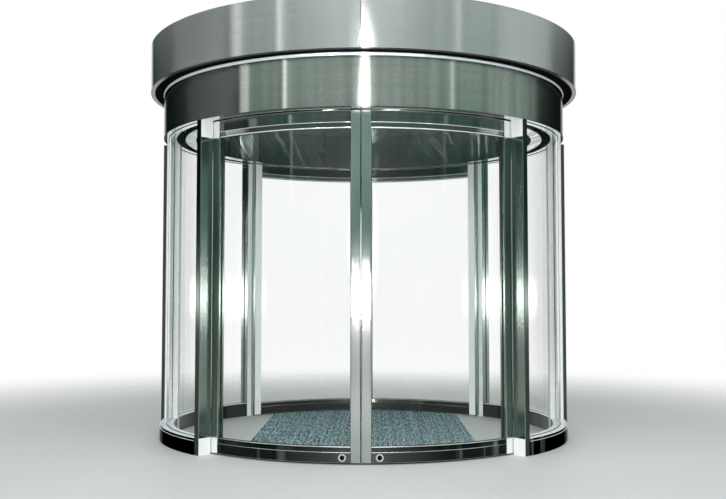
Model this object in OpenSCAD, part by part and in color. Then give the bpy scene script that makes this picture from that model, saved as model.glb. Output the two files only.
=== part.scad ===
// Round sliding door: a glazed drum with two pairs of curved leaves that part on a shared circle.
// The origin is on the drum's axis at floor level. The pair at -Y faces the room, the pair at +Y the street.
// Angles of leaves, posts and screens are counted from the middle of a doorway, outwards to the jamb posts.

/* [Drum] */
// Outer radius of the posts and of the ring that carries the side glass
ring_r = 1555; // [1200:5:2000]
// Radial depth of the posts, base rails and header underside
ring_w = 100; // [80:2:140]
// Clear height from the floor to the underside of the header
header_z = 2257; // [2100:1:2600]
// Angle from the middle of a doorway to the side face of its post
post_angle = 44.3; // [35:0.1:50]
// Width of a post along the ring
post_w = 50; // [40:1:90]
// Thickness of a jamb post where the drum meets the wall
jamb_w = 70; // [50:1:110]
// Wall thickness of the hollow posts
post_wall = 4; // [2:0.5:8]

/* [Header and canopy] */
// How far the lower canopy stands back from the outer radius of the ring
lower_set = 5; // [0:1:20]
// Height of the lower canopy from the header underside to the deck
lower_h = 323; // [240:1:450]
// Thickness of the deck between the canopies
deck_t = 20; // [12:1:30]
// How far the bead between the canopies stands out of the lower one
bead_proud = 5; // [2:1:12]
// Radial depth of the bead ring
bead_w = 55; // [30:1:90]
// Radius of the bead's rounded corners
bead_round = 6; // [2:0.5:9]
// How far the upper canopy overhangs the lower one
upper_overhang = 100; // [60:5:300]
// Height of the upper canopy
upper_h = 350; // [200:5:600]
// Thickness of the folded cladding panels
panel_t = 4; // [2:0.5:8]
// Width of the inward folds of the upper panels
panel_fold = 30; // [15:1:60]
// Number of upper cladding panels round the canopy
panel_count = 4; // [2:1:8]
// Open joint between two upper cladding panels
panel_joint = 3; // [1:0.5:6]
// Thickness of the boards that close the canopy
board_t = 12; // [6:1:20]
// Thickness of the ceiling lining over the walkway
ceiling_t = 10; // [6:1:20]
// Width of the fold under the inner face of the header
inner_fold = 80; // [40:5:160]
// Height of the upstands beside the slots in the header underside
lip_h = 24; // [18:1:60]

/* [Leaves] */
// Radial thickness of the leaf rails and stiles
leaf_t = 55; // [40:1:70]
// Running gap between a leaf and the ring, header and floor round it
run_gap = 6; // [5:0.5:12]
// Gap between the two meeting stiles of a closed pair
meet_gap = 5; // [2:0.5:8]
// Angle from the middle of a doorway to the trailing edge of a closed leaf
leaf_angle = 44.8; // [40:0.1:50]
// Width of a meeting stile along the circle
meet_w = 64; // [45:1:90]
// Width of a trailing stile along the circle
trail_w = 77; // [45:1:100]
// Height of the top of the bottom rail above the floor
bottom_rail_z = 113; // [80:1:200]
// Height of a leaf's top rail with the running gap above it, below the header
top_rail_h = 118; // [70:1:260]
// Height of a leaf above the floor
leaf_lift = 12; // [8:1:20]
// Height of the glazing beads that hold the glass in a leaf's rails
glazing_bead_h = 35; // [25:1:50]
// How far a glazing bead stands back from the face of its rail, and once more at the glass
glazing_bead_set = 5; // [2:0.5:8]
// Angle from the middle of a doorway to a lock cylinder
lock_angle = 4.7; // [4.5:0.1:12]
// Radius of a lock cylinder
lock_r = 25; // [10:0.5:26]
// How far a lock cylinder stands out of its rail
lock_proud = 1; // [0.5:0.5:3]

/* [Glass] */
// Thickness of the curved glass of the leaves
leaf_glass_t = 10; // [6:1:14]
// Thickness of the curved glass of the side screens
side_glass_t = 10; // [6:1:14]
// Clearance on each side of the glass in its slot
glass_gap = 2; // [1:0.5:4]
// Depth to which the glass enters its frame
glass_bite = 14; // [8:1:25]

/* [Side screens] */
// Height of the base rail of a side screen
base_h = 114; // [80:1:200]
// Height of the cap above the skirt of a base rail
base_cap_h = 18; // [8:1:40]
// How far the skirt stands out of the cap
skirt_proud = 5; // [2:1:15]
// Depth of the channel that reaches the wall beside a jamb post
wall_channel_d = 25; // [15:1:60]

/* [Door gear] */
// Radius of a hanger roller
roller_r = 22; // [15:1:30]
// Width of a hanger roller
roller_w = 14; // [8:1:20]
// Distance between the two rollers of a hanger
roller_pitch = 60; // [50:1:80]
// Width of a hanger plate
hanger_w = 100; // [84:1:120]
// Height of the running shelf of the track above the header underside
shelf_lift = 123; // [100:1:160]
// Thickness of the track's web, shelf and flange
track_t = 6; // [4:0.5:8]

/* [Mat] */
// Half width of the mat that runs through the drum
mat_half_w = 820; // [500:10:1000]
// Thickness of the mat
mat_t = 10; // [6:1:20]

/* [Hidden] */
// Clearance between a running face or rounded seat and its neighbour
seat_gap = 0.3;
// Clearance between a board and the panels round it
board_gap = 1;
// Clearance between the step board and the panel folds under it
fold_gap = 0.05;
// Overrun of every cut past the face it opens
over = 1;
// Facets of every circle
$fn = 180;

// Radii of the ring and of what runs inside it
ring_in_r = ring_r - ring_w;
lower_r = ring_r - lower_set;
upper_r = lower_r + upper_overhang;
leaf_out_r = ring_in_r - run_gap;
leaf_in_r = leaf_out_r - leaf_t;
inner_fascia_r = leaf_in_r - run_gap;
side_glass_r = ring_r - ring_w / 2;
leaf_glass_r = (leaf_out_r + leaf_in_r) / 2;

// Heights from the floor
deck_z = header_z + lower_h;
upper_z = deck_z + deck_t;
top_z = upper_z + upper_h;
leaf_top_z = header_z - run_gap;
top_rail_z = header_z - top_rail_h;

// Angles that the leaf sizes come to on their own circle
function arc_angle(length, radius) = length / radius * 180 / PI;
meet_start = arc_angle(meet_gap / 2, leaf_out_r);
meet_end = meet_start + arc_angle(meet_w, leaf_out_r);
trail_start = leaf_angle - arc_angle(trail_w, leaf_out_r);
leaf_bite = arc_angle(glass_bite, leaf_glass_r);
leaf_slot = arc_angle(glass_bite + glass_gap, leaf_glass_r);
slot_d = glass_bite + glass_gap;

// Directions of the middles of the two doorways, and the sides of a doorway
front_dir = -90;
rear_dir = 90;

// A stretch of a ring between two angles
module arc_bar(r_in, r_out, z_low, z_high, from, to) {
    rotate([0, 0, from])
        rotate_extrude(angle = to - from)
            translate([r_in, z_low])
                square([r_out - r_in, z_high - z_low]);
}

// A full ring
module hoop(r_in, r_out, z_low, z_high) {
    rotate_extrude()
        translate([r_in, z_low])
            square([r_out - r_in, z_high - z_low]);
}

// Turns a piece drawn at angles counted from +X into one quarter of the drum
module quarter(dir, side) {
    rotate([0, 0, dir])
        if (side > 0) children();
        else mirror([0, 1, 0]) children();
}

// Folded panels of the upper canopy, with open joints between them
module upper_canopy_panels() {
    joint_angle = arc_angle(panel_joint / 2, upper_r);
    step = 360 / panel_count;
    color("silver")
        for (i = [0 : panel_count - 1])
            rotate([0, 0, front_dir + i * step + joint_angle])
                rotate_extrude(angle = step - 2 * joint_angle)
                    translate([upper_r, upper_z])
                        polygon([
                            [0, 0], [0, upper_h], [-panel_fold, upper_h],
                            [-panel_fold, upper_h - panel_t], [-panel_t, upper_h - panel_t],
                            [-panel_t, panel_t], [-panel_fold, panel_t], [-panel_fold, 0]]);
}

// Board under the overhang of the upper canopy, resting on the deck
module canopy_step_board() {
    color("dimgray")
        difference() {
            hoop(ring_in_r, upper_r - panel_t - board_gap, upper_z, upper_z + panel_t + board_t);
            hoop(lower_r + bead_proud, upper_r, upper_z - over, upper_z + panel_t + fold_gap);
        }
}

// Board that closes the top, under the inward folds of the panels
module canopy_roof_board() {
    color("gainsboro")
        translate([0, 0, top_z - panel_t - board_t])
            cylinder(h = board_t, r = upper_r - panel_t - board_gap);
}

// Deck between the canopies, which carries the header
module canopy_deck() {
    color("gainsboro")
        translate([0, 0, deck_z])
            cylinder(h = deck_t, r = lower_r + bead_proud - bead_w - seat_gap);
}

// Polished bead round the edge of the deck
module canopy_bead() {
    bead_r = lower_r + bead_proud;
    color("white")
        rotate_extrude()
            translate([bead_r - bead_w, deck_z]) {
                square([bead_w - bead_round, deck_t]);
                translate([0, bead_round])
                    square([bead_w, deck_t - 2 * bead_round]);
                for (corner_z = [bead_round, deck_t - bead_round])
                    translate([bead_w - bead_round, corner_z])
                        circle(r = bead_round);
            }
}

// Outer face of the lower canopy
module lower_canopy_fascia() {
    color("silver")
        hoop(lower_r - panel_t, lower_r, header_z, deck_z);
}

// Inner face of the header, round the walkway, with a fold along its lower edge
module inner_header_fascia() {
    color("silver") {
        hoop(inner_fascia_r - panel_t, inner_fascia_r, header_z, deck_z);
        hoop(inner_fascia_r - inner_fold, inner_fascia_r, header_z, header_z + panel_t);
    }
}

// Lining of the ceiling over the walkway
module drum_ceiling() {
    color("whitesmoke")
        translate([0, 0, deck_z - ceiling_t])
            cylinder(h = ceiling_t, r = inner_fascia_r - panel_t - seat_gap);
}

// Underside of the header, with the slots for the side glass and an upstand along the leaf slot
module header_soffit() {
    slot_half = side_glass_t / 2 + glass_gap;
    color("silver")
        difference() {
            union() {
                hoop(ring_in_r, lower_r - panel_t - seat_gap, header_z, header_z + track_t);
                hoop(ring_in_r, ring_in_r + panel_t, header_z, header_z + lip_h);
                hoop(side_glass_r - slot_half - panel_t, side_glass_r + slot_half + panel_t,
                    header_z, header_z + lip_h);
            }
            for (dir = [front_dir, rear_dir], side = [-1, 1])
                quarter(dir, side)
                    arc_bar(side_glass_r - slot_half, side_glass_r + slot_half,
                        header_z - over, header_z + slot_d, post_angle, 90);
        }
}

// Curved tracks in the header, one over each doorway, hung from the deck
module door_tracks() {
    end_angle = arc_angle(ring_w / 2, ring_r);
    shelf_z = header_z + shelf_lift;
    web_r = leaf_out_r;
    shelf_in_r = leaf_glass_r - roller_w / 2;
    color("lightgray")
        for (dir = [front_dir, rear_dir])
            rotate([0, 0, dir - 90 + end_angle])
                rotate_extrude(angle = 180 - 2 * end_angle)
                    polygon([
                        [shelf_in_r, shelf_z], [web_r, shelf_z], [web_r, deck_z - track_t],
                        [web_r + panel_fold, deck_z - track_t], [web_r + panel_fold, deck_z],
                        [web_r - track_t, deck_z], [web_r - track_t, shelf_z + track_t],
                        [shelf_in_r + roller_w, shelf_z + track_t],
                        [shelf_in_r + roller_w, shelf_z + 2 * track_t],
                        [shelf_in_r, shelf_z + 2 * track_t]]);
}

// Hollow post beside a doorway, grooved for the edge of the side glass
module post(dir, side) {
    slot_half = side_glass_t / 2 + glass_gap;
    color("gray")
        quarter(dir, side)
            rotate([0, 0, post_angle])
                difference() {
                    translate([ring_in_r, 0, 0])
                        cube([ring_w, post_w, header_z]);
                    translate([ring_in_r + post_wall, post_wall, -over])
                        cube([ring_w - 2 * post_wall, post_w - slot_d - 2 * post_wall, header_z + 2 * over]);
                    translate([side_glass_r - slot_half, post_w - slot_d, -over])
                        cube([2 * slot_half, slot_d + over, header_z + 2 * over]);
                }
}

// Hollow post in the wall line, grooved on both sides for the side glass
module jamb_post(side) {
    slot_half = side_glass_t / 2 + glass_gap;
    core_w = jamb_w - 2 * (slot_d + post_wall);
    color("gainsboro")
        mirror([side > 0 ? 0 : 1, 0, 0])
            difference() {
                translate([ring_in_r, -jamb_w / 2, 0])
                    cube([ring_w, jamb_w, header_z]);
                translate([ring_in_r + post_wall, -core_w / 2, -over])
                    cube([ring_w - 2 * post_wall, core_w, header_z + 2 * over]);
                for (slot_y = [-jamb_w / 2 - over, jamb_w / 2 - slot_d])
                    translate([side_glass_r - slot_half, slot_y, -over])
                        cube([2 * slot_half, slot_d + over, header_z + 2 * over]);
            }
}

// Channels that close the joint between the jamb posts and the wall
module wall_channels() {
    color("dimgray")
        for (side = [0, 1])
            mirror([side, 0, 0])
                translate([ring_r, -jamb_w / 2, 0])
                    difference() {
                        cube([wall_channel_d, jamb_w, header_z]);
                        translate([post_wall, post_wall, -over])
                            cube([wall_channel_d, jamb_w - 2 * post_wall, header_z + 2 * over]);
                    }
}

// Base rail of a side screen, from its doorway post to the jamb post
module base_rail(dir, side) {
    slot_half = side_glass_t / 2 + glass_gap;
    skirt_h = base_h - base_cap_h;
    cut_l = 3 * ring_w;
    color("gray")
        quarter(dir, side)
            difference() {
                union() {
                    arc_bar(ring_in_r, ring_r, 0, base_h, post_angle, 90);
                    arc_bar(ring_in_r, ring_r + skirt_proud, 0, skirt_h, post_angle, 90);
                }
                arc_bar(side_glass_r - slot_half, side_glass_r + slot_half,
                    base_h - slot_d, base_h + over, 0, 90 + post_angle);
                rotate([0, 0, post_angle])
                    translate([ring_in_r - ring_w, -ring_r, -over])
                        cube([cut_l, ring_r + post_w, base_h + 2 * over]);
                translate([-ring_w, ring_in_r - ring_w, -over])
                    cube([ring_w + jamb_w / 2, cut_l, base_h + 2 * over]);
            }
}

// Curved glass of the two side screens on one side of the drum
module side_glass(side) {
    edge = arc_angle(post_w - glass_bite, side_glass_r);
    jamb_edge = arc_angle(jamb_w / 2 - glass_bite, side_glass_r);
    color("lightcyan", 0.35)
        for (dir = [front_dir, rear_dir])
            quarter(dir, dir < 0 ? side : -side)
                arc_bar(side_glass_r - side_glass_t / 2, side_glass_r + side_glass_t / 2,
                    base_h - slot_d, header_z + glass_bite,
                    post_angle + edge, 90 - jamb_edge);
}

// Ribbed mat that runs through the drum between the two doorways
module walk_through_mat() {
    color("darkslategray")
        intersection() {
            cylinder(h = mat_t, r = leaf_in_r - run_gap);
            translate([-mat_half_w, -ring_r, 0])
                cube([2 * mat_half_w, 2 * ring_r, mat_t]);
        }
}

// Slot that the leaf glass sits in, cut from whatever frames it
module leaf_glass_slot(z_low, z_high, from, to) {
    slot_half = leaf_glass_t / 2 + glass_gap;
    arc_bar(leaf_glass_r - slot_half, leaf_glass_r + slot_half, z_low, z_high, from, to);
}

// Stile at the middle of a doorway
module meeting_stile(dir, side) {
    color("silver")
        quarter(dir, side)
            difference() {
                arc_bar(leaf_in_r, leaf_out_r, leaf_lift, leaf_top_z, meet_start, meet_end);
                leaf_glass_slot(bottom_rail_z - slot_d, top_rail_z + slot_d,
                    meet_end - leaf_slot, leaf_angle);
            }
}

// Stile that overlaps the doorway post when the leaf is closed
module trailing_stile(dir, side) {
    color("silver")
        quarter(dir, side)
            difference() {
                arc_bar(leaf_in_r, leaf_out_r, leaf_lift, leaf_top_z, trail_start, leaf_angle);
                leaf_glass_slot(bottom_rail_z - slot_d, top_rail_z + slot_d, 0, trail_start + leaf_slot);
            }
}

// A leaf rail from stile to stile, with glazing beads that narrow towards the glass above it
module rail_bar(rail_h) {
    bead_z = rail_h - glazing_bead_h;
    bead_half = leaf_t / 2 - glazing_bead_set;
    nose_half = bead_half - glazing_bead_set;
    rotate([0, 0, meet_end])
        rotate_extrude(angle = trail_start - meet_end)
            translate([leaf_glass_r, 0])
                polygon([
                    [-leaf_t / 2, 0], [leaf_t / 2, 0], [leaf_t / 2, bead_z], [bead_half, bead_z],
                    [nose_half, rail_h], [-nose_half, rail_h], [-bead_half, bead_z],
                    [-leaf_t / 2, bead_z]]);
}

// Top and bottom rails of a leaf, slotted for the glass, with the lock cylinder in the bottom rail
module leaf_rails(dir, side) {
    color("silver")
        quarter(dir, side) {
            difference() {
                translate([0, 0, leaf_lift])
                    rail_bar(bottom_rail_z - leaf_lift);
                leaf_glass_slot(bottom_rail_z - slot_d, bottom_rail_z + over, 0, leaf_angle);
            }
            rotate([0, 0, lock_angle])
                translate([leaf_glass_r, 0, (leaf_lift + bottom_rail_z - glazing_bead_h) / 2])
                    rotate([0, 90, 0])
                        cylinder(h = leaf_t / 2 + lock_proud, r = lock_r, $fn = 48);
            difference() {
                translate([0, 0, leaf_top_z])
                    mirror([0, 0, 1])
                        rail_bar(leaf_top_z - top_rail_z);
                leaf_glass_slot(top_rail_z - over, top_rail_z + slot_d, 0, leaf_angle);
            }
        }
}

// Curved glass of a leaf, standing on the floor of the bottom rail's slot
module leaf_glass(dir, side) {
    color("lightcyan", 0.35)
        quarter(dir, side)
            arc_bar(leaf_glass_r - leaf_glass_t / 2, leaf_glass_r + leaf_glass_t / 2,
                bottom_rail_z - slot_d, top_rail_z + glass_bite, meet_end - leaf_bite,
                trail_start + leaf_bite);
}

// Roller hangers that stand on a leaf's top rail and run on the track
module hangers(dir, side) {
    hanger_shares = [0.18, 0.82];
    shelf_top_z = header_z + shelf_lift + 2 * track_t;
    axle_z = shelf_top_z + seat_gap + roller_r;
    plate_out_r = leaf_glass_r - roller_w / 2 - run_gap;
    color("dimgray")
        quarter(dir, side)
            for (place = hanger_shares)
                rotate([0, 0, place * leaf_angle]) {
                    translate([plate_out_r - track_t, -hanger_w / 2, leaf_top_z])
                        cube([track_t, hanger_w, axle_z + roller_r - leaf_top_z]);
                    translate([plate_out_r - track_t, -hanger_w / 2, leaf_top_z])
                        cube([leaf_t / 2, hanger_w, track_t]);
                    for (end = [-1, 1])
                        translate([plate_out_r, end * roller_pitch / 2, axle_z])
                            rotate([0, 90, 0]) {
                                cylinder(h = run_gap + roller_w, r = roller_r / 4, $fn = 32);
                                translate([0, 0, run_gap])
                                    cylinder(h = roller_w, r = roller_r, $fn = 48);
                            }
                }
}

upper_canopy_panels();
canopy_step_board();
canopy_roof_board();
canopy_deck();
canopy_bead();
lower_canopy_fascia();
inner_header_fascia();
drum_ceiling();
header_soffit();
door_tracks();
post(front_dir, -1);  // post_front_left
post(front_dir, 1);  // post_front_right
post(rear_dir, 1);  // post_rear_left
post(rear_dir, -1);  // post_rear_right
jamb_post(-1);  // jamb_post_left
jamb_post(1);  // jamb_post_right
wall_channels();
base_rail(front_dir, -1);  // base_rail_front_left
base_rail(front_dir, 1);  // base_rail_front_right
base_rail(rear_dir, 1);  // base_rail_rear_left
base_rail(rear_dir, -1);  // base_rail_rear_right
side_glass(-1);  // side_glass_left
side_glass(1);  // side_glass_right
walk_through_mat();
meeting_stile(front_dir, -1);  // front_left_meeting_stile
trailing_stile(front_dir, -1);  // front_left_trailing_stile
leaf_rails(front_dir, -1);  // front_left_rails
leaf_glass(front_dir, -1);  // front_left_glass
hangers(front_dir, -1);  // front_left_hangers
meeting_stile(front_dir, 1);  // front_right_meeting_stile
trailing_stile(front_dir, 1);  // front_right_trailing_stile
leaf_rails(front_dir, 1);  // front_right_rails
leaf_glass(front_dir, 1);  // front_right_glass
hangers(front_dir, 1);  // front_right_hangers
meeting_stile(rear_dir, 1);  // rear_left_meeting_stile
trailing_stile(rear_dir, 1);  // rear_left_trailing_stile
leaf_rails(rear_dir, 1);  // rear_left_rails
leaf_glass(rear_dir, 1);  // rear_left_glass
hangers(rear_dir, 1);  // rear_left_hangers
meeting_stile(rear_dir, -1);  // rear_right_meeting_stile
trailing_stile(rear_dir, -1);  // rear_right_trailing_stile
leaf_rails(rear_dir, -1);  // rear_right_rails
leaf_glass(rear_dir, -1);  // rear_right_glass
hangers(rear_dir, -1);  // rear_right_hangers
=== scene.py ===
# Dresses the round sliding door: brushed steel, glass, seals, ribbed mat, camera and studio light
import bpy
import bmesh
import math
from mathutils import Matrix, Vector


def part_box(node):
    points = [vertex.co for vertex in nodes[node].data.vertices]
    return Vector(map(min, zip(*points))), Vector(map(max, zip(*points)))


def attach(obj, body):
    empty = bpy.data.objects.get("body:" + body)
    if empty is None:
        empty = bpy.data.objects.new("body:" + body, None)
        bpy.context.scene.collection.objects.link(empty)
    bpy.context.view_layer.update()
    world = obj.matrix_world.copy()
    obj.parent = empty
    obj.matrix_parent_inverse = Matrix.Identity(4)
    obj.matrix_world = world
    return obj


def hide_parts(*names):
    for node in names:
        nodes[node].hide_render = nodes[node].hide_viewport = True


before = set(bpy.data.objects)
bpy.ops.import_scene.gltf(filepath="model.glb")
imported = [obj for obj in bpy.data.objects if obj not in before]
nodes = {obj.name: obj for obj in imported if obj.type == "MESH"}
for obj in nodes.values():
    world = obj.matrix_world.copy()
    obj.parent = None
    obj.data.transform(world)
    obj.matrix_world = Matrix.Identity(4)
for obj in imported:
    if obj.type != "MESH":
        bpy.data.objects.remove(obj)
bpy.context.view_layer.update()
print("frame loaded:", len(nodes), "nodes")

# Sizes that the pieces share with the model, in metres and degrees
drum = {
    "ringOut": 1.555, "ringIn": 1.455, "headerZ": 2.257, "baseHigh": 0.114, "sideGlass": 1.505,
    "postAngle": 44.3, "postWidth": 0.050, "jambWidth": 0.070, "slotHalf": 0.007, "slotDeep": 0.016,
    "leafOut": 1.449, "leafIn": 1.394, "leafMid": 1.4215, "leafLow": 0.012, "leafTop": 2.251,
    "leafEnd": 44.8, "meetGap": 0.005, "meetWidth": 0.064, "trailWidth": 0.077,
    "bottomRailZ": 0.113, "topRailZ": 2.139,
}
meetStart = math.degrees(drum["meetGap"] / 2 / drum["leafOut"])
meetEnd = meetStart + math.degrees(drum["meetWidth"] / drum["leafOut"])
trailStart = drum["leafEnd"] - math.degrees(drum["trailWidth"] / drum["leafOut"])
railHeights = (drum["bottomRailZ"], drum["topRailZ"])
slotIn, slotOut = drum["sideGlass"] - drum["slotHalf"], drum["sideGlass"] + drum["slotHalf"]
# turn and side of each quarter of the drum
quarters = {"front_left": (-90, -1), "front_right": (-90, 1), "rear_left": (90, 1), "rear_right": (90, -1)}


# Shader helpers: a wrapped socket takes part in Python maths, and a Paint makes the nodes

class Wire:
    def __init__(self, paint, socket):
        self.paint, self.socket = paint, socket

    def maths(self, operation, first, second):
        return self.paint.node("ShaderNodeMath", {"operation": operation}, {0: first, 1: second})

    def __add__(self, other):
        return self.maths("ADD", self, other)

    def __radd__(self, other):
        return self.maths("ADD", other, self)

    def __sub__(self, other):
        return self.maths("SUBTRACT", self, other)

    def __rsub__(self, other):
        return self.maths("SUBTRACT", other, self)

    def __mul__(self, other):
        return self.maths("MULTIPLY", self, other)

    def __rmul__(self, other):
        return self.maths("MULTIPLY", other, self)


class Paint:
    def __init__(self, owner):
        owner.use_nodes = True
        self.owner, self.tree = owner, owner.node_tree
        self.tree.nodes.clear()

    def node(self, kind, settings=None, sockets=None, out=0):
        made = self.tree.nodes.new(kind)
        for key, value in (settings or {}).items():
            if key == "stops":
                ramp = made.color_ramp
                while len(ramp.elements) < len(value):
                    ramp.elements.new(0.5)
                for element, (place, tone) in zip(ramp.elements, value):
                    element.position, element.color = place, (tone, tone, tone, 1)
            else:
                setattr(made, key, value)
        for key, value in (sockets or {}).items():
            if isinstance(value, Wire):
                self.tree.links.new(value.socket, made.inputs[key])
            else:
                made.inputs[key].default_value = value
        return Wire(self, made.outputs[out]) if len(made.outputs) else None

    def spot(self, stretch=(1, 1, 1)):
        place = self.node("ShaderNodeTexCoord", out="Object")
        return self.node("ShaderNodeVectorMath", {"operation": "MULTIPLY"}, {0: place, 1: stretch})

    def split(self, vector):
        outputs = self.node("ShaderNodeSeparateXYZ", {}, {0: vector}).socket.node.outputs
        return [Wire(self, outputs[i]) for i in range(3)]

    def noise(self, stretch, scale, detail=2.0, rough=0.5):
        sockets = {"Vector": self.spot(stretch), "Scale": scale, "Detail": detail, "Roughness": rough}
        return self.node("ShaderNodeTexNoise", {}, sockets)

    def lineNoise(self, value, scale, detail):
        sockets = {"W": value, "Scale": scale, "Detail": detail}
        return self.node("ShaderNodeTexNoise", {"noise_dimensions": "1D"}, sockets)

    def ramp(self, value, stops):
        return self.node("ShaderNodeValToRGB", {"stops": stops}, {0: value})

    def blend(self, share, first, second):
        first, second = [tone + (1,) if isinstance(tone, tuple) else tone for tone in (first, second)]
        return self.node("ShaderNodeMix", {"data_type": "RGBA"}, {0: share, 6: first, 7: second}, out=2)

    def bump(self, height, strength, distance):
        return self.node("ShaderNodeBump", {}, {"Height": height, "Strength": strength, "Distance": distance})

    def surface(self, **sockets):
        names = {key.replace("_", " "): value for key, value in sockets.items()}
        return self.node("ShaderNodeBsdfPrincipled", {}, names)

    def close(self, shader):
        inWorld = isinstance(self.owner, bpy.types.World)
        self.node("ShaderNodeOutputWorld" if inWorld else "ShaderNodeOutputMaterial", {}, {"Surface": shader})
        return self.owner


def newPaint(name):
    return Paint(bpy.data.materials.new(name))


# Brushed steel: hairlines along the piece and broader streaks, with painted light and shade: painted reflection
# streaks, a painted lighter band low on the stiles, painted glints, a painted dark underside, and lighter middles of
# the bottom rails
marks = {
    "streakSize": 0.07, "streakShare": 0.5, "fineShare": 0.3, "smudgeShare": 0.2, "tone": [(0.3, 0), (0.7, 1)],
    "speckleScale": 110.0, "speckle": [(0.40, 0), (0.60, 1)], "speckleTone": (0.05, 0.06, 0.06),
    "paintedStreakScale": 1.6, "paintedStreakBend": 1.5, "paintedStreak": [(0.54, 0), (0.66, 1)], "paintedStreakTone": (0.95, 0.97, 0.96),
    "paintedStreakPatchScale": 1.8, "paintedStreakPatch": [(0.42, 0), (0.54, 1)],
    "middleAside": [(0.05, 1), (0.20, 0.45), (0.55, 0)], "middleHeight": [(0.2, 1), (0.3, 0)],
    "lowReflectionZoom": 0.4, "lowReflectionHeight": [(0.06, 0.1), (0.18, 1), (0.38, 1), (0.48, 0)],
    "glintScale": 11.0, "glint": [(0.60, 0), (0.66, 1)],
    "lipZoom": 250, "lipEdge": [(0.4, 0), (0.6, 1)],
    "rippleStretch": (1, 1, 0.25), "rippleScale": 5.0, "bumpDepth": 0.0004,
}


def brushedSteel(name, look):
    paint = newPaint(name)
    fine = paint.noise(look["grain"], 1.0, detail=3.0, rough=0.7)
    streak = paint.noise(tuple(size * marks["streakSize"] for size in look["grain"]), 1.0)
    smudge = paint.noise((1, 1, 1), look["smudge"], detail=4.0, rough=0.6)
    spread = streak * marks["streakShare"] + fine * marks["fineShare"] + smudge * marks["smudgeShare"]
    tone = paint.blend(paint.ramp(spread, marks["tone"]), look["low"], look["high"])
    if "speckle" in look:
        speckle = paint.ramp(paint.noise((1, 1, 1), marks["speckleScale"], detail=1.0), marks["speckle"])
        tone = paint.blend(speckle * look["speckle"], tone, marks["speckleTone"])
    if "paintedStreakSlant" in look:      # painted reflections: slanting light streaks in the colour, standing in for the streaky reflections on the curved header
        slant = {0: paint.spot(), 1: look["paintedStreakSlant"]}
        across = paint.node("ShaderNodeVectorMath", {"operation": "DOT_PRODUCT"}, slant, out=1)
        paintedStreak = paint.lineNoise(across + smudge * marks["paintedStreakBend"], marks["paintedStreakScale"], 3.0)
        paintedStreakPatch = paint.ramp(paint.noise((1, 1, 1), marks["paintedStreakPatchScale"], detail=1.0), marks["paintedStreakPatch"])
        tone = paint.blend(paint.ramp(paintedStreak, marks["paintedStreak"]) * paintedStreakPatch, tone, marks["paintedStreakTone"])
    if "lighterMiddle" in look:      # lighter near the middle of the bottom rails
        aside, _, height = paint.split(paint.spot())
        middleShare = paint.ramp(aside.maths("ABSOLUTE", aside, 0.0), marks["middleAside"])
        tone = paint.blend(middleShare * paint.ramp(height, marks["middleHeight"]), tone, look["lighterMiddle"])
    if "paintedLowReflection" in look:      # painted reflection: lighter from about knee to waist height, standing in for the bright floor that the lower stiles reflect
        height = paint.split(paint.spot())[2]
        tone = paint.blend(paint.ramp(height * marks["lowReflectionZoom"], marks["lowReflectionHeight"]), tone, look["paintedLowReflection"])
    if "glint" in look:      # painted highlights: lighter upright streaks standing in for glints reflected in the dark steel
        glint = paint.ramp(paint.noise((1, 1, 0), marks["glintScale"]), marks["glint"])
        tone = paint.blend(glint, tone, look["glint"])
    if "under" in look:      # painted shade: near-black colour below the lip, standing in for the shade under the canopy's fold
        height = paint.split(paint.spot())[2]
        above = paint.ramp((height - look["lip"]) * marks["lipZoom"], marks["lipEdge"])
        tone = paint.blend(above, look["under"], tone)
    rough, byFine, bySmudge = look["rough"]
    relief = fine
    if "ripple" in look:
        relief = fine + paint.noise(marks["rippleStretch"], marks["rippleScale"], detail=1.0) * look["ripple"]
    return paint.close(paint.surface(
        Base_Color=tone, Metallic=1.0, Roughness=rough + (fine - 0.5) * byFine + (smudge - 0.5) * bySmudge,
        Anisotropic=look["pull"], Anisotropic_Rotation=look["turn"],
        Specular_Tint=(look.get("edge", 1.0),) * 3 + (1,),
        Normal=paint.bump(relief, look["relief"], marks["bumpDepth"])))


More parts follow.
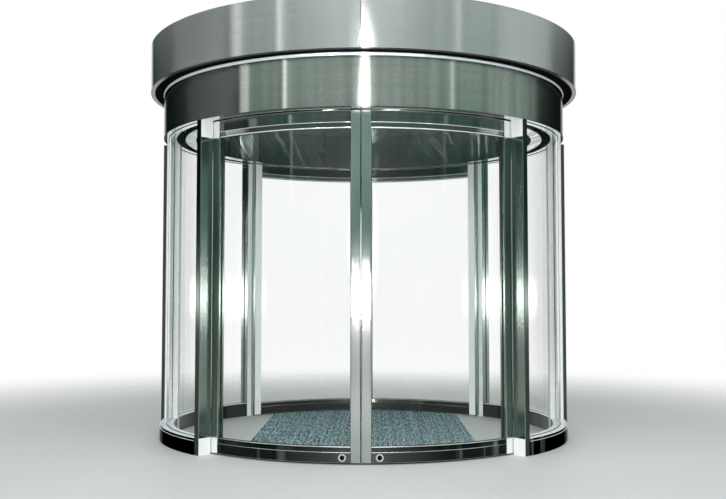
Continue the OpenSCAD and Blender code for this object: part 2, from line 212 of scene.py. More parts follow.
# rough holds the roughness and how far the hairlines and the smudges change it, edge dims grazing angles
alongRing = {"grain": (6, 6, 800), "smudge": 3.0, "pull": 1.0, "turn": 0.25, "relief": 0.04}
upright = {"grain": (800, 800, 4), "smudge": 2.6, "pull": 0.9, "turn": 0.0, "relief": 0.04, "rough": (0.16, 0.04, 0.04)}
plain = {"pull": 0.0, "turn": 0.0}
steelLooks = {
    "canopySteel": {
        **alongRing, "grain": (5, 5, 700), "smudge": 1.6, "low": (0.53, 0.55, 0.535), "high": (0.58, 0.60, 0.58),
        "rough": (0.20, 0.05, 0.04), "relief": 0.05, "speckle": 0.07,
        # near-black painted shade under the fold, below the lip
        "under": (0.004, 0.005, 0.005), "lip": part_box("upper_canopy_panels")[0][2]},
    "lowerSteel": {
        **alongRing, "grain": (5, 5, 700), "smudge": 2.2, "low": (0.42, 0.435, 0.40), "high": (0.47, 0.485, 0.45),
        "rough": (0.135, 0.03, 0.03), "edge": 0.3, "speckle": 0.09},
    "headerSteel": {
        **alongRing, "grain": (6, 6, 700), "low": (0.30, 0.36, 0.33), "high": (0.44, 0.49, 0.46),
        # the slanting light streaks are painted reflections
        "rough": (0.07, 0.02, 0.03), "pull": 0.5, "relief": 0.03, "ripple": 1500.0, "paintedStreakSlant": (9.0, 2.0, 5.0)},
    "soffitSteel": {
        **plain, "grain": (300, 300, 300), "smudge": 3.0, "low": (0.80, 0.83, 0.83), "high": (0.90, 0.92, 0.92),
        "rough": (0.10, 0.03, 0.04), "relief": 0.02},
    # railSteel, sillSteel and baseSteel are the stiles' and posts' stainless painted darker as shade: the top rails
    # darker, the bottom rails and base rails near black
    "railSteel": {
        **alongRing, "low": (0.11, 0.135, 0.125), "high": (0.18, 0.205, 0.19), "rough": (0.12, 0.03, 0.03),
        "edge": 0.2, "lighterMiddle": (0.62, 0.64, 0.63)},
    "sillSteel": {
        **alongRing, "low": (0.006, 0.010, 0.009), "high": (0.024, 0.030, 0.027), "rough": (0.13, 0.03, 0.04),
        "edge": 0.2, "lighterMiddle": (0.16, 0.17, 0.165), "glint": (0.11, 0.12, 0.115)},
    # bright steel for painted highlights on the bottom rails' level faces
    "paintedHighlightSteel": {
        **alongRing, "low": (0.74, 0.78, 0.78), "high": (0.86, 0.89, 0.89), "rough": (0.16, 0.04, 0.06),
        "pull": 0.5, "relief": 0.03},
    "baseSteel": {
        **alongRing, "low": (0.004, 0.010, 0.008), "high": (0.012, 0.018, 0.015), "rough": (0.15, 0.04, 0.05),
        "edge": 0.15, "glint": (0.10, 0.11, 0.105)},
    "postSteel": {**upright, "low": (0.24, 0.30, 0.265), "high": (0.34, 0.40, 0.36)},
    "stileSteel": {
        **upright, "low": (0.44, 0.475, 0.46), "high": (0.54, 0.575, 0.56), "rough": (0.19, 0.04, 0.04),
        # the lighter low band is a painted reflection
        "paintedLowReflection": (0.72, 0.73, 0.72)},
    # near-black copy of the post steel: painted shade on the posts' outer edges
    "paintedShadeSteel": {**upright, "low": (0.04, 0.05, 0.045), "high": (0.10, 0.115, 0.105), "edge": 0.4},
    "rosetteSteel": {
        **plain, "grain": (200, 200, 200), "smudge": 9.0, "low": (0.74, 0.76, 0.75), "high": (0.90, 0.91, 0.90),
        "rough": (0.14, 0.06, 0.06), "relief": 0.03},
    "gearSteel": {
        **plain, "grain": (90, 90, 90), "smudge": 9.0, "low": (0.40, 0.41, 0.40), "high": (0.58, 0.58, 0.55),
        "rough": (0.42, 0.10, 0.16), "relief": 0.10},
    "trackAluminium": {
        **plain, "grain": (6, 6, 300), "smudge": 5.0, "low": (0.60, 0.61, 0.61), "high": (0.74, 0.75, 0.75),
        "rough": (0.38, 0.10, 0.12), "relief": 0.06},
}
steels = {name: brushedSteel(name, look) for name, look in steelLooks.items()}


# Painted, wooden, rubber and woven finishes share one recipe: two tones, a grain and a relief
wear = {"byFine": 0.15, "byBroad": 0.1}      # how far the grain and the clouds change the roughness


def mattFinish(name, look):
    paint = newPaint(name)
    fine = paint.noise(look["grain"], 1.0, detail=4.0, rough=0.65)
    broad = paint.noise((1, 1, 1), look["cloud"], detail=3.0)
    spread = fine * look["fineShare"] + broad * (1 - look["fineShare"])
    tone = paint.blend(paint.ramp(spread, marks["tone"]), look["low"], look["high"])
    return paint.close(paint.surface(
        Base_Color=tone, Roughness=look["rough"] + (fine - 0.5) * wear["byFine"] + (broad - 0.5) * wear["byBroad"],
        Specular_IOR_Level=look["shine"], Normal=paint.bump(fine, look["relief"], look["depth"])))


mattLooks = {
    "darkPaint": {
        "grain": (60, 60, 60), "cloud": 3, "fineShare": 0.3, "low": (0.030, 0.035, 0.033),
        "high": (0.055, 0.06, 0.057), "rough": 0.45, "shine": 0.4, "relief": 0.15, "depth": 0.0005},
    "blackBoard": {
        "grain": (60, 60, 60), "cloud": 3, "fineShare": 0.3, "low": (0.004, 0.005, 0.005),
        "high": (0.012, 0.013, 0.013), "rough": 0.9, "shine": 0.0, "relief": 0.15, "depth": 0.0005},
    # pale blue-white lacquer: the canopy bead's finish, and painted highlights on rail arrises and base rail ledges
    "paleLacquerAndPaintedHighlight": {
        "grain": (120, 120, 120), "cloud": 6, "fineShare": 0.3, "low": (0.84, 0.93, 0.98),
        "high": (0.90, 0.97, 1.0), "rough": 0.25, "shine": 0.5, "relief": 0.05, "depth": 0.0002},
    # white lacquer: painted reflections and painted light on post and stile faces, and the jamb posts' white finish
    "whiteLacquerAndPaintedLight": {
        "grain": (160, 160, 30), "cloud": 9, "fineShare": 0.5, "low": (0.84, 0.86, 0.86),
        "high": (0.92, 0.93, 0.93), "rough": 0.30, "shine": 0.5, "relief": 0.05, "depth": 0.0002},
    "sheathingBoard": {
        "grain": (14, 160, 14), "cloud": 4, "fineShare": 0.7, "low": (0.36, 0.27, 0.17),
        "high": (0.56, 0.45, 0.31), "rough": 0.75, "shine": 0.25, "relief": 0.25, "depth": 0.001},
    "ceilingPaint": {
        "grain": (120, 120, 120), "cloud": 1.6, "fineShare": 0.12, "low": (0.010, 0.020, 0.016),
        "high": (0.10, 0.14, 0.125), "rough": 0.22, "shine": 0.5, "relief": 0.15, "depth": 0.0005},
    "blackRubber": {
        "grain": (150, 150, 150), "cloud": 8, "fineShare": 0.5, "low": (0.010, 0.010, 0.011),
        "high": (0.028, 0.028, 0.030), "rough": 0.55, "shine": 0.4, "relief": 0.2, "depth": 0.0004},
    "brushPile": {
        "grain": (1500, 1500, 40), "cloud": 12, "fineShare": 0.8, "low": (0.008, 0.008, 0.009),
        "high": (0.035, 0.035, 0.038), "rough": 0.9, "shine": 0.15, "relief": 0.6, "depth": 0.001},
}
matts = {name: mattFinish(name, look) for name, look in mattLooks.items()}


# Mat fibre: blue-grey and warmer yarn with dark speckle and trodden lighter lanes
fibreLook = {
    "speckStretch": (1, 0.14, 0), "tuftStretch": (1, 0.12, 0),
    "laneStretch": (1, 0.006, 0), "troddenStretch": (1.4, 0.5, 1),
    "speckScale": 112.0, "tuftScale": 58.0, "laneScale": 44.0, "troddenScale": 1.6,
    "speckShare": 0.62, "tuftShare": 0.18, "laneShare": 0.2,
    "speck": [(0.48, 0), (0.52, 1)], "yarn": [(0.46, 0), (0.54, 1)], "lane": [(0.44, 0), (0.56, 1)],
    "trodden": [(0.45, 0), (0.75, 0.2)],
    "gap": (0.002, 0.008, 0.011), "cool": (0.32, 0.64, 0.76), "warm": (0.54, 0.70, 0.70), "worn": (0.30, 0.34, 0.34),
    "rough": 0.85, "roughSpeck": 0.2, "shine": 0.05, "sheen": 0.02, "relief": 0.8, "depth": 0.002,
}


def matFibre(look):
    paint = newPaint("matFibre")
    speck = paint.noise(look["speckStretch"], look["speckScale"], detail=1.0)
    tuft = paint.noise(look["tuftStretch"], look["tuftScale"], detail=1.0)
    trodden = paint.noise(look["troddenStretch"], look["troddenScale"], detail=3.0)
    lane = paint.noise(look["laneStretch"], look["laneScale"], detail=1.0)
    pile = paint.ramp(speck, look["speck"]) * look["speckShare"] + paint.ramp(tuft, look["speck"]) * look["tuftShare"]
    pile = pile + paint.ramp(lane, look["lane"]) * look["laneShare"]
    yarn = paint.blend(paint.ramp(tuft, look["yarn"]), look["cool"], look["warm"])
    tone = paint.blend(pile, look["gap"], yarn)
    worn = paint.blend(paint.ramp(trodden, look["trodden"]), tone, look["worn"])
    return paint.close(paint.surface(
        Base_Color=worn, Roughness=look["rough"] + (speck - 0.5) * look["roughSpeck"],
        Specular_IOR_Level=look["shine"], Sheen_Weight=look["sheen"],
        Normal=paint.bump(pile, look["relief"], look["depth"])))


# Glass: clear with a faint green cast; lamps' rays pass straight through it
film = {"stretch": (1, 1, 0.6), "scale": 2.4}      # faint clouds in the cast
glassBend = 1.30


def curvedGlass(name, look):
    paint = newPaint(name)
    clouds = paint.noise(film["stretch"], film["scale"], detail=4.0, rough=0.6)
    pane = paint.surface(
        Base_Color=paint.blend(clouds, look["low"], look["high"]), Roughness=0.0, IOR=glassBend,
        Transmission_Weight=1.0)
    clear = paint.node("ShaderNodeBsdfTransparent", {}, {"Color": look["lamp"] + (1,)})
    lampRay = paint.node("ShaderNodeLightPath", out="Is Shadow Ray")
    return paint.close(paint.node("ShaderNodeMixShader", {}, {0: lampRay, 1: pane, 2: clear}))


glassLooks = {
    "leafGlass": {"low": (0.984, 0.995, 0.990), "high": (0.990, 0.999, 0.995), "lamp": (0.94, 0.975, 0.955)},
    "screenGlass": {"low": (0.984, 0.995, 0.990), "high": (0.990, 0.998, 0.994), "lamp": (0.93, 0.97, 0.95)},
}
glasses = {name: curvedGlass(name, look) for name, look in glassLooks.items()}
fibre = matFibre(fibreLook)
print("finishes made")


# Mesh helpers: outlines are closed lists of points, drawn in one quarter of the drum
sharpAngle = 38      # degrees between faces from which an edge stays sharp


def quarterMatrix(name):
    turn, side = quarters[name]
    return Matrix.Rotation(math.radians(turn), 4, "Z") @ Matrix.Diagonal((1, side, 1, 1))


def turnedBy(matrix, angle):
    return matrix @ Matrix.Rotation(math.radians(angle), 4, "Z")


def polar(radius, angle):
    return (radius * math.cos(math.radians(angle)), radius * math.sin(math.radians(angle)))


def arcPoints(radius, start, end, steps):
    return [polar(radius, start + (end - start) * i / steps) for i in range(steps + 1)]


def fillet(points, radii, steps=4):      # rounds each corner that has a radius
    made = []
    for i, (point, radius) in enumerate(zip(points, radii)):
        here = Vector(point)
        if radius <= 0:
            made.append(tuple(here))
            continue
        before, after = Vector(points[i - 1]) - here, Vector(points[(i + 1) % len(points)]) - here
        half = before.angle(after) / 2
        reach = radius / math.tan(half)
        centre = here + (before.normalized() + after.normalized()).normalized() * radius / math.sin(half)
        first = here + before.normalized() * reach - centre
        last = here + after.normalized() * reach - centre
        swing = first.angle_signed(last)
        for k in range(steps + 1):
            made.append(tuple(centre + Matrix.Rotation(-swing * k / steps, 2) @ first))
    return made


def joinRings(mesh, here, there):
    for i in range(len(here)):
        j = (i + 1) % len(here)
        mesh.faces.new((here[i], here[j], there[j], there[i]))


def capRings(mesh, rings):
    mesh.faces.new(rings[0][::-1])
    mesh.faces.new(rings[-1])


def addColumn(mesh, outline, low, high, matrix, between=()):      # between holds heights at which the sides are cut
    rings = [[mesh.verts.new(matrix @ Vector((x, y, z))) for x, y in outline] for z in (low, *between, high)]
    for lower, upper in zip(rings, rings[1:]):
        joinRings(mesh, lower, upper)
    capRings(mesh, rings)


# profile holds (radius, height), and start and end may depend on the radius
def addSweep(mesh, profile, start, end, matrix, step=1.5):
    startAt = start if callable(start) else (lambda radius: start)
    endAt = end if callable(end) else (lambda radius: end)
    span = endAt(profile[0][0]) - startAt(profile[0][0])
    count = max(2, math.ceil(abs(span) / step))
    rings = []
    for k in range(count + 1):
        ring = []
        for radius, height in profile:
            angle = startAt(radius) + (endAt(radius) - startAt(radius)) * k / count
            ring.append(mesh.verts.new(matrix @ Vector(polar(radius, angle) + (height,))))
        rings.append(ring)
    for here, there in zip(rings, rings[1:]):
        joinRings(mesh, here, there)
    capRings(mesh, rings)


def addTurned(mesh, profile, matrix, count=48):      # profile holds (radius, height) from the middle out
    angles = [360 * k / count for k in range(count)]
    rings = [[mesh.verts.new(matrix @ Vector(polar(radius, angle) + (height,))) for angle in angles]
             for radius, height in profile]
    for inside, outside in zip(rings, rings[1:]):
        joinRings(mesh, inside, outside)
    capRings(mesh, rings)


# choose gives the finish of a face by its middle and normal, as a place in the list of materials
def makePiece(name, mesh, materials, body, replaced=(), choose=None):
    bmesh.ops.recalc_face_normals(mesh, faces=mesh.faces)
    data = bpy.data.meshes.new(name)
    mesh.to_mesh(data)
    mesh.free()
    data.polygons.foreach_set("use_smooth", [True] * len(data.polygons))
    data.set_sharp_from_angle(angle=math.radians(sharpAngle))
    for material in materials:
        data.materials.append(material)
    if choose:
        data.polygons.foreach_set("material_index", [choose(face.center, face.normal) for face in data.polygons])
    piece = bpy.data.objects.new(name, data)
    bpy.context.scene.collection.objects.link(piece)
    even = piece.modifiers.new("evenShade", "WEIGHTED_NORMAL")
    even.keep_sharp = True
    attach(piece, body)
    if replaced:
        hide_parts(*replaced)


# Which way a face looks, by the part of its normal along a direction
facing = {"toward": 0.9, "level": 0.3}


# painted light and shade by face: white painted reflections beside the rails on one side, a dark outer edge of painted
# shade, and a painted light inner face
def sideLightAndShade(reflectionSide, outward):
    def choose(middle, normal):
        if normal.dot(reflectionSide) > facing["toward"] and not railHeights[0] < middle.z < railHeights[1]:
            return 1
        if normal.dot(outward) > facing["toward"]:
            return 2
        return 1 if normal.dot(outward) < -facing["toward"] else 0
    return choose


# Posts and jamb posts: folded boxes with rounded arrises and a groove for the side glass
posts = {"arris": 0.004, "grooveArris": 0.001}
inner, outer = drum["ringIn"], drum["ringOut"]
big, small = posts["arris"], posts["grooveArris"]
for name in quarters:
    mesh = bmesh.new()
    wide = drum["postWidth"]
    deep = wide - drum["slotDeep"]
    corners = [(inner, 0), (outer, 0), (outer, wide), (slotOut, wide), (slotOut, deep), (slotIn, deep),
               (slotIn, wide), (inner, wide)]
    outline = fillet(corners, [big, big, big, small, 0, 0, small, big])
    turned = turnedBy(quarterMatrix(name), drum["postAngle"])
    addColumn(mesh, outline, 0, drum["headerZ"], turned, railHeights)
    reflectionSide, outward = turned.to_3x3() @ Vector((0, -1, 0)), turned.to_3x3() @ Vector((1, 0, 0))
    # white faces are painted reflections and painted light, the dark outer faces painted shade
    finishes = [steels["postSteel"], matts["whiteLacquerAndPaintedLight"], steels["paintedShadeSteel"]]
    makePiece("post_" + name + "_skin", mesh, finishes, "drum", ["post_" + name],
              sideLightAndShade(reflectionSide, outward))

for side, node in ((1, "jamb_post_right"), (-1, "jamb_post_left")):
    mesh = bmesh.new()
    half = drum["jambWidth"] / 2
    deep = half - drum["slotDeep"]
    corners = [(inner, -half), (slotIn, -half), (slotIn, -deep), (slotOut, -deep), (slotOut, -half), (outer, -half),
               (outer, half), (slotOut, half), (slotOut, deep), (slotIn, deep), (slotIn, half), (inner, half)]
    outline = fillet(corners, [big, small, 0, 0, small, big, big, small, 0, 0, small, big])
    addColumn(mesh, outline, 0, drum["headerZ"], Matrix.Diagonal((side, 1, 1, 1)))
    # the jamb posts are white lacquer all over
    makePiece(node + "_skin", mesh, [matts["whiteLacquerAndPaintedLight"]], "drum", [node])
print("posts made")


# Base rails of the side screens: skirt, ledge, cap and glass groove
baseRails = {"skirtProud": 0.005, "capHigh": 0.018, "arris": 0.003}


def postSide(radius):
    return drum["postAngle"] + math.degrees(math.asin(drum["postWidth"] / radius))


def jambSide(radius):
    return 90 - math.degrees(math.asin(drum["jambWidth"] / 2 / radius))


def paintedLedgeHighlight(middle, normal):      # painted highlights: up-facing ledges pale on the dark rail
    return 1 if normal.z > facing["level"] else 0


for name in quarters:
    mesh = bmesh.new()
    top, skirt, arris = drum["baseHigh"], outer + baseRails["skirtProud"], baseRails["arris"]
    ledge, deep = top - baseRails["capHigh"], top - drum["slotDeep"]
    corners = [(inner, 0), (skirt, 0), (skirt, ledge), (outer, ledge), (outer, top), (slotOut, top), (slotOut, deep),
               (slotIn, deep), (slotIn, top), (inner, top)]
    profile = fillet(corners, [0, 0, arris, 0, arris, small, 0, 0, small, arris])
    addSweep(mesh, profile, postSide, jambSide, quarterMatrix(name))
    makePiece("base_rail_" + name + "_skin", mesh, [steels["baseSteel"], matts["paleLacquerAndPaintedHighlight"]], "drum",
              ["base_rail_" + name], paintedLedgeHighlight)
print("base rails made")


# Black gaskets between the side glass and its frame
gaskets = {"proud": 0.003, "sunk": 0.008, "foot": 0.0046, "lip": 0.0082, "lipEnd": 0.0006, "fill": 0.98}


def gasketProfile(edge, inward, centre, sign):      # inward is +1 where the frame lies below the edge
    foot, lip, wall = [centre + sign * reach for reach in (
        gaskets["foot"], gaskets["lip"], drum["slotHalf"] * gaskets["fill"])]
    top, bottom = edge + inward * gaskets["proud"], edge - inward * gaskets["sunk"]
    lipEnd = edge + inward * gaskets["lipEnd"]
    return [(foot, bottom), (wall, bottom), (wall, lipEnd), (lip, lipEnd), (lip, (lipEnd + top) / 2), (foot, top)]


for name in quarters:
    mesh = bmesh.new()
    matrix = quarterMatrix(name)
    for sign in (1, -1):
        centre = drum["sideGlass"]
        addSweep(mesh, gasketProfile(drum["baseHigh"], 1, centre, sign), postSide, jambSide, matrix)
        addSweep(mesh, gasketProfile(drum["headerZ"], -1, centre, sign), postSide, jambSide, matrix)
        # beside the doorway post, in its turned frame, and beside the jamb post
        plan = gasketProfile(drum["postWidth"], 1, centre, sign)
        addColumn(mesh, plan, drum["baseHigh"], drum["headerZ"], turnedBy(matrix, drum["postAngle"]))
        plan = [(y, x) for x, y in gasketProfile(drum["jambWidth"] / 2, 1, centre, sign)]
        addColumn(mesh, plan, drum["baseHigh"], drum["headerZ"], matrix)
    makePiece("side_gaskets_" + name, mesh, [matts["blackRubber"]], "drum")
print("side gaskets made")


# Leaves: stiles, railed frames with glazing beads, gaskets, seals and lock rosettes
leaves = {
    "arcSteps": 6, "stileArris": 0.006, "grooveArris": 0.001, "railArris": 0.003, "beadHigh": 0.035, "beadSet": 0.005,
    "beadArris": 0.005, "stepArris": 0.0005, "slotArris": 0.0008,
    "brushHalf": 0.004, "brushLow": 0.002, "brushTop": 0.0135, "brushShort": 0.1,
    "noseHalf": 0.009, "noseProud": 0.0012, "noseRoot": 0.001, "noseArris": 0.001, "noseShort": 0.004,
}
# dish holds shares of the rosette's radius and of proud, its height over the rail, of which the others are shares
lock = {"angle": 4.7, "height": 0.045, "radius": 0.025, "proud": 0.001, "sunk": 0.002, "darkShare": 0.6,
        "plug": 0.0085, "plugGap": 0.0006, "plugLip": 0.004, "plugHole": 0.0005, "plugFace": 0.9, "plugRim": 0.6,
        "dishFoot": 0.1, "dishLip": 0.2, "dish": [(0.62, 0.45), (0.84, 0.95), (0.95, 1.0), (1.0, 0.5)]}


def stileOutline(start, end, grooveAtEnd):
    mid, half = drum["leafMid"], drum["slotHalf"]
    deepAngle = math.degrees(drum["slotDeep"] / mid)
    steps = leaves["arcSteps"]
    outerArc, innerArc = arcPoints(drum["leafOut"], start, end, steps), arcPoints(drum["leafIn"], end, start, steps)
    edge, back = (end, end - deepAngle) if grooveAtEnd else (start, start + deepAngle)
    groove = [polar(mid + half, edge), polar(mid + half, back), polar(mid - half, back), polar(mid - half, edge)]
    grooveRadii = [leaves["grooveArris"], 0, 0, leaves["grooveArris"]]
    arcRadii = [leaves["stileArris"]] + [0] * (steps - 1) + [leaves["stileArris"]]
    if grooveAtEnd:
        return fillet(outerArc + groove + innerArc, arcRadii + grooveRadii + arcRadii)
    return fillet(outerArc + innerArc + groove[::-1], arcRadii + arcRadii + grooveRadii)


def railProfile(edge, top):      # edge is the glass side, top the far side of the rail
    way = 1 if edge > top else -1
    mid, half, step = drum["leafMid"], (drum["leafOut"] - drum["leafIn"]) / 2, leaves["beadSet"]
    beadZ = edge - way * leaves["beadHigh"]
    side = [(mid + half, top), (mid + half, beadZ), (mid + half - step, beadZ), (mid + half - 2 * step, edge),
            (mid + drum["slotHalf"], edge), (mid + drum["slotHalf"], edge - way * drum["slotDeep"])]
    radii = [leaves["railArris"], leaves["railArris"], leaves["stepArris"], leaves["beadArris"],
             leaves["slotArris"], 0]
    mirrored = [(2 * mid - radius, height) for radius, height in reversed(side)]
    return fillet(side + mirrored, radii + radii[::-1])


def railLightAndShade(middle, normal):      # painted light and shade: painted highlights on the level faces and arrises, pale steel below and pale lacquer above, and a bottom rail painted darker as shade than the top rail
    low = middle.z < drum["topRailZ"] / 2
    if abs(normal.z) > facing["level"]:
        return 2 if low else 3
    return 1 if low else 0


stileKinds = (("meeting", meetStart, meetEnd, True), ("trailing", trailStart, drum["leafEnd"], False))
mid = drum["leafMid"]
for name in quarters:
    body, matrix = name + "_leaf", quarterMatrix(name)
    for kind, start, end, atEnd in stileKinds:
        mesh = bmesh.new()
        addColumn(mesh, stileOutline(start, end, atEnd), drum["leafLow"], drum["leafTop"], matrix, railHeights)
        outward = turnedBy(matrix, (start + end) / 2).to_3x3() @ Vector((1, 0, 0))
        face = steels["stileSteel" if kind == "meeting" else "postSteel"]
        # trailing stiles: white painted reflections on the outer face beside the rails, and a painted light inner face
        makePiece(name + "_" + kind + "_stile_skin", mesh, [face, matts["whiteLacquerAndPaintedLight"], steels["postSteel"]], body,
                  [name + "_" + kind + "_stile"],
                  sideLightAndShade(outward, outward) if kind == "trailing" else None)

    mesh = bmesh.new()
    addSweep(mesh, railProfile(drum["bottomRailZ"], drum["leafLow"]), meetEnd, trailStart, matrix)
    addSweep(mesh, railProfile(drum["topRailZ"], drum["leafTop"]), meetEnd, trailStart, matrix)
    finishes = [steels["railSteel"], steels["sillSteel"], steels["paintedHighlightSteel"], matts["paleLacquerAndPaintedHighlight"]]
    makePiece(name + "_rails_skin", mesh, finishes, body, [name + "_rails"], railLightAndShade)

    mesh = bmesh.new()
    for sign in (1, -1):
        addSweep(mesh, gasketProfile(drum["bottomRailZ"], 1, mid, sign), meetEnd, trailStart, matrix)
        addSweep(mesh, gasketProfile(drum["topRailZ"], -1, mid, sign), meetEnd, trailStart, matrix)
        for angle, way in ((meetEnd, 1), (trailStart, -1)):
            addColumn(mesh, gasketProfile(0, way, mid, sign), *railHeights, turnedBy(matrix, angle))
    makePiece(name + "_gaskets", mesh, [matts["blackRubber"]], body)

    mesh = bmesh.new()      # brush under the leaf and the soft nose in the middle gap
    half, low, top, short = [leaves["brush" + key] for key in ("Half", "Low", "Top", "Short")]
    brush = [(mid - half, low), (mid + half, low), (mid + half, top), (mid - half, top)]
    addSweep(mesh, brush, meetStart + short, drum["leafEnd"] - short, matrix)
    half, short, arris = leaves["noseHalf"], leaves["noseShort"], leaves["noseArris"]
    side = math.radians(meetStart) * mid
    tip, root = side - leaves["noseProud"], side + leaves["noseRoot"]
    nose = fillet([(mid - half, tip), (mid + half, tip), (mid + half, root), (mid - half, root)], [arris, arris, 0, 0])
    addColumn(mesh, nose, drum["leafLow"] + short, drum["leafTop"] - short, matrix)
    makePiece(name + "_seals", mesh, [matts["brushPile"]], body)

    mesh = bmesh.new()      # dished rosette round the lock plug
    seat = turnedBy(matrix, lock["angle"]) @ Matrix.Translation((drum["leafOut"], 0, lock["height"]))
    seat = seat @ Matrix.Rotation(math.radians(90), 4, "Y")
    radius, proud, plug, gap, sunk = [lock[key] for key in ("radius", "proud", "plug", "plugGap", "sunk")]
    rosette = [(plug + gap, proud * lock["dishFoot"]), (plug + lock["plugLip"], proud * lock["dishLip"])]
    rosette += [(radius * wide, proud * high) for wide, high in lock["dish"]] + [(radius, -sunk)]
    addTurned(mesh, rosette, seat)
    face, rim = proud * lock["plugFace"], proud * lock["plugRim"]
    keyPlug = [(lock["plugHole"], face), (plug - gap, face), (plug, rim), (plug, -sunk)]
    addTurned(mesh, keyPlug, seat)
    axis, dark = seat.to_translation(), radius * lock["darkShare"]
    makePiece(name + "_lock", mesh, [steels["rosetteSteel"], steels["baseSteel"]], body,
              choose=lambda middle, normal: 1 if (middle - axis).length < dark else 0)
print("leaves made")


# Mat: a base sheet with fibre ribs that run through the drum, cut on the circle inside the leaves
mat = {"halfWide": 0.82, "radius": 1.388, "high": 0.010, "baseHigh": 0.006, "edgeSteps": 48,
       "pitch": 0.0133, "ribWide": 0.0085, "ribFoot": 0.004, "ribArris": 0.0015}
mesh = bmesh.new()
edgeAngle = math.degrees(math.asin(mat["halfWide"] / mat["radius"]))
sheet = []
for facingAngle in (-90, 90):
    sheet += arcPoints(mat["radius"], facingAngle - edgeAngle, facingAngle + edgeAngle, mat["edgeSteps"])
addColumn(mesh, sheet, 0, mat["baseHigh"], Matrix.Identity(4))
ribCount = int((2 * mat["halfWide"] - mat["ribWide"]) / mat["pitch"])
foot, crown, arris = mat["ribFoot"], mat["high"], mat["ribArris"]
for i in range(ribCount + 1):
    x = (i - ribCount / 2) * mat["pitch"]
    left, right = x - mat["ribWide"] / 2, x + mat["ribWide"] / 2
    reach = math.sqrt(mat["radius"] ** 2 - (abs(x) + mat["ribWide"] / 2) ** 2)
    rib = fillet([(left, foot), (right, foot), (right, crown), (left, crown)], [0, 0, arris, arris], 2)
    ends = [[mesh.verts.new((across, y, up)) for across, up in rib] for y in (-reach, reach)]
    joinRings(mesh, *ends)
    capRings(mesh, ends)
makePiece("mat_ribs", mesh, [fibre], "drum", ["walk_through_mat"])
print("mat made")


# Finishes of the model's own nodes that stay
kept = {
    "upper_canopy_panels": steels["canopySteel"], "lower_canopy_fascia": steels["lowerSteel"],
    "inner_header_fascia": steels["headerSteel"], "header_soffit": steels["soffitSteel"],
    "canopy_bead": matts["paleLacquerAndPaintedHighlight"], "canopy_step_board": matts["blackBoard"],
    "canopy_roof_board": matts["sheathingBoard"], "canopy_deck": matts["sheathingBoard"],
    "drum_ceiling": matts["ceilingPaint"], "door_tracks": steels["trackAluminium"], "wall_channels": matts["darkPaint"],
    "side_glass_left": glasses["screenGlass"], "side_glass_right": glasses["screenGlass"],
}
for name in quarters:
    kept[name + "_glass"] = glasses["leafGlass"]
    kept[name + "_hangers"] = steels["gearSteel"]
for node, material in kept.items():
    for place in nodes[node].material_slots:
        place.material = material
print("node finishes set")


# Studio: a pale floor that fades into white, a bright far side and a calm near side, soft lamps
studio = {
    "floorHalf": 60.0, "floorFade": (2.8, 7.0), "floorLow": (0.60, 0.61, 0.60), "floorHigh": (0.66, 0.67, 0.66),
    "floorCloud": 0.8, "floorRough": 0.55,
    "farTone": (1.0, 1.0, 1.0), "far": [(0.86, 0), (0.89, 1)],
    "sideDark": (0.004, 0.012, 0.009), "sideBright": (2.1, 2.8, 2.55), "sideTeal": (1.3, 3.1, 2.6),
    "teal": [(0.02, 0), (0.05, 1), (0.15, 1), (0.19, 0)], "sideRise": [(0.10, 0.5), (0.20, 1)],
    "topTone": (0.78, 0.82, 0.80), "topShade": (0.38, 0.42, 0.41), "top": [(0.26, 0), (0.30, 1)],
    "topRound": [(-90, 0), (-50.4, 1), (108, 1), (144, 0)],
    "underTone": (0.44, 0.45, 0.44), "underHeight": [(-0.10, 1), (-0.03, 0)],
    # tone of the surroundings by degrees from the view line, left is negative, and how uneven it is
    "panorama": [(-180, 0.01), (-66, 0.01), (-64, 0.11), (-30, 0.15), (60, 0.16), (108, 0.11), (114, 0.01),
                 (180, 0.01)],
    "unevenScale": 70.0, "unevenSpread": 1.6, "unevenLeast": 0.2,
    # bright upright strips that the canopies show
    "stripTone": (6.0, 6.1, 6.1), "stripFoot": [(0.09, 0), (0.115, 1)],
    "strips": [(-69.6, 0), (-69.2, 0.17), (-63.8, 0.17), (-63.4, 0), (-43.3, 0), (-43.1, 1.0), (-42.3, 1.0), (-42.1, 0),
               (49.1, 0), (49.3, 0.3), (49.9, 0.3), (50.1, 0)],
    # share of each light by height round the horizon, and by degrees from the view line
    "sweepTone": (0.80, 0.80, 0.79), "sweepHeight": [(0.07, 0), (0.10, 1), (0.14, 1), (0.17, 0)],
    "sweepRound": [(-45, 0), (-9, 1), (-7, 0), (7, 0), (9, 1), (45, 0)],
    "haloTone": (1.0, 0.98, 0.99), "haloHeight": [(-0.16, 0.2), (-0.05, 0.9), (0.0, 0.7), (0.06, 0)],
    "haloRound": [(-6, 0), (-4, 1), (4, 1), (6, 0)],
    "glowTone": (8.5, 8.2, 8.4),
    "glowHeight": [(-0.12, 0), (-0.024, 0.07), (-0.006, 1), (0.006, 1), (0.024, 0.07), (0.10, 0)],
    "glowRound": [(-116, 0), (-108, 1), (-76, 1), (-70, 0), (-7, 0), (-4, 0.25), (4, 0.25), (7, 0), (70, 0), (76, 1),
                  (108, 1), (116, 0)],
    # name, place, aim, size, spread and watts
    "lamps": [
        ("overheadLamp", (0.0, -3.5, 7.0), (0, 0, 1.0), 5.0, 180, 185.0),
        ("nearLamp", (0.15, -7.45, 1.12), (0, 0, 1.1), 0.22, 12, 0.25),
        ("fillLamp", (0.0, -8.5, 1.8), (0, 0, 1.2), 2.5, 180, 260.0),
        ("canopyLamp", (0.15, -7.45, 1.12), (0, -1.6, 2.28), 0.18, 11, 3.2),
    ],
}
mesh = bmesh.new()
half = studio["floorHalf"]
mesh.faces.new([mesh.verts.new((x, y, 0)) for x, y in ((-half, -half), (half, -half), (half, half), (-half, half))])
data = bpy.data.meshes.new("floor")
mesh.to_mesh(data)
mesh.free()
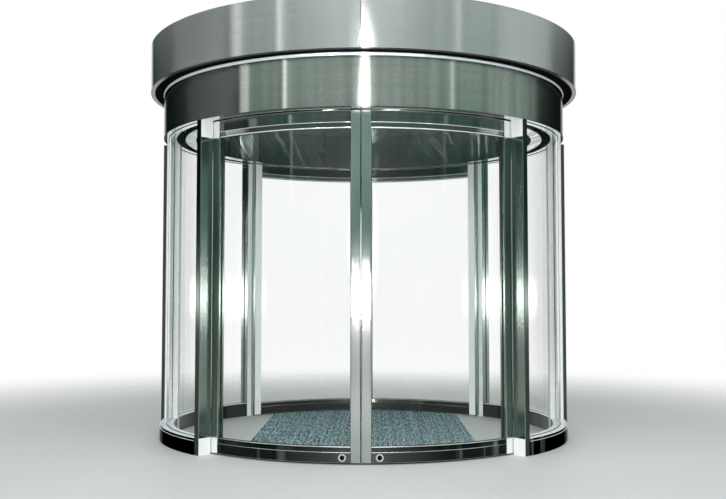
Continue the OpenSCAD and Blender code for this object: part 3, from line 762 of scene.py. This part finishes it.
floor = bpy.data.objects.new("floor", data)
bpy.context.scene.collection.objects.link(floor)
paint = newPaint("paleFloor")
cloud = paint.noise((1, 1, 1), studio["floorCloud"], detail=3.0)
pale = paint.blend(cloud, studio["floorLow"], studio["floorHigh"])
solid = paint.surface(Base_Color=pale, Roughness=studio["floorRough"])
away = paint.node("ShaderNodeVectorMath", {"operation": "LENGTH"}, {0: paint.spot()}, out=1)
reach = {0: away, 1: studio["floorFade"][0], 2: studio["floorFade"][1], 3: 0.0, 4: 1.0}
fade = paint.node("ShaderNodeMapRange", {"interpolation_type": "SMOOTHSTEP"}, reach)
clear = paint.node("ShaderNodeBsdfTransparent")
data.materials.append(paint.close(paint.node("ShaderNodeMixShader", {}, {0: fade, 1: solid, 2: clear})))

world = bpy.data.worlds.new("studioSky")
bpy.context.scene.world = world
paint = Paint(world)
across, towardFar, upward = paint.split(paint.node("ShaderNodeTexCoord", out="Generated"))
bearing = across.maths("ARCTAN2", across, 0 - towardFar) * (0.5 / math.pi) + 0.5


def byBearing(key):
    return paint.ramp(bearing, [(degrees / 360 + 0.5, tone) for degrees, tone in studio[key]])


def byHeight(key):
    return paint.ramp(upward * 0.5 + 0.5, [(height / 2 + 0.5, tone) for height, tone in studio[key]])


uneven = paint.lineNoise(bearing, studio["unevenScale"], 2.0) * studio["unevenSpread"] + studio["unevenLeast"]
side = paint.blend(paint.ramp(upward, studio["teal"]), studio["sideBright"], studio["sideTeal"])
lit = byBearing("panorama") * uneven * paint.ramp(upward, studio["sideRise"])
around = paint.blend(lit, studio["sideDark"], side)
top = paint.blend(byBearing("topRound"), studio["topShade"], studio["topTone"])
around = paint.blend(paint.ramp(upward, studio["top"]), around, top)
around = paint.blend(byHeight("underHeight"), around, studio["underTone"])
around = paint.blend(byBearing("strips") * paint.ramp(upward, studio["stripFoot"]), around, studio["stripTone"])
# light near the camera, and the line of light that brushed posts draw from it
for name in ("sweep", "halo", "glow"):
    around = paint.blend(byHeight(name + "Height") * byBearing(name + "Round"), around, studio[name + "Tone"])
# metal shows the surroundings, and whatever is seen straight or through glass stands against white
path = paint.node("ShaderNodeLightPath").socket.node.outputs
cameraRay, throughRay, glossy, diffuse = [Wire(paint, path[name]) for name in (
    "Is Camera Ray", "Is Transmission Ray", "Glossy Depth", "Diffuse Depth")]
bounced = glossy + diffuse
straight = (cameraRay + throughRay) * (1 - bounced.maths("MINIMUM", bounced, 1.0))
far = paint.ramp(towardFar, studio["far"])
sky = paint.blend(far.maths("MAXIMUM", far, straight), around, studio["farTone"])
paint.close(paint.node("ShaderNodeBackground", {}, {"Color": sky, "Strength": 1.0}))

for name, place, aim, size, spread, watts in studio["lamps"]:
    lamp = bpy.data.lights.new(name, "AREA")
    lamp.shape, lamp.size, lamp.spread, lamp.energy = "DISK", size, math.radians(spread), watts
    lampObject = bpy.data.objects.new(name, lamp)
    lampObject.location, lampObject.visible_glossy = place, name != "fillLamp"
    lampObject.rotation_euler = (Vector(aim) - Vector(place)).to_track_quat("-Z", "Y").to_euler()
    bpy.context.scene.collection.objects.link(lampObject)

view = {"place": (0.085, -7.41, 1.05), "lens": 46.61, "film": 36.0, "tilt": 2.94, "turn": 0.69}
camera = bpy.data.objects.new("viewCamera", bpy.data.cameras.new("viewCamera"))
camera.data.lens, camera.data.sensor_width = view["lens"], view["film"]
camera.location = view["place"]
camera.rotation_euler = (math.radians(90 + view["tilt"]), 0, math.radians(view["turn"]))
bpy.context.scene.collection.objects.link(camera)
bpy.context.scene.camera = camera
bpy.context.scene.view_settings.view_transform = "Standard"
print("studio set")
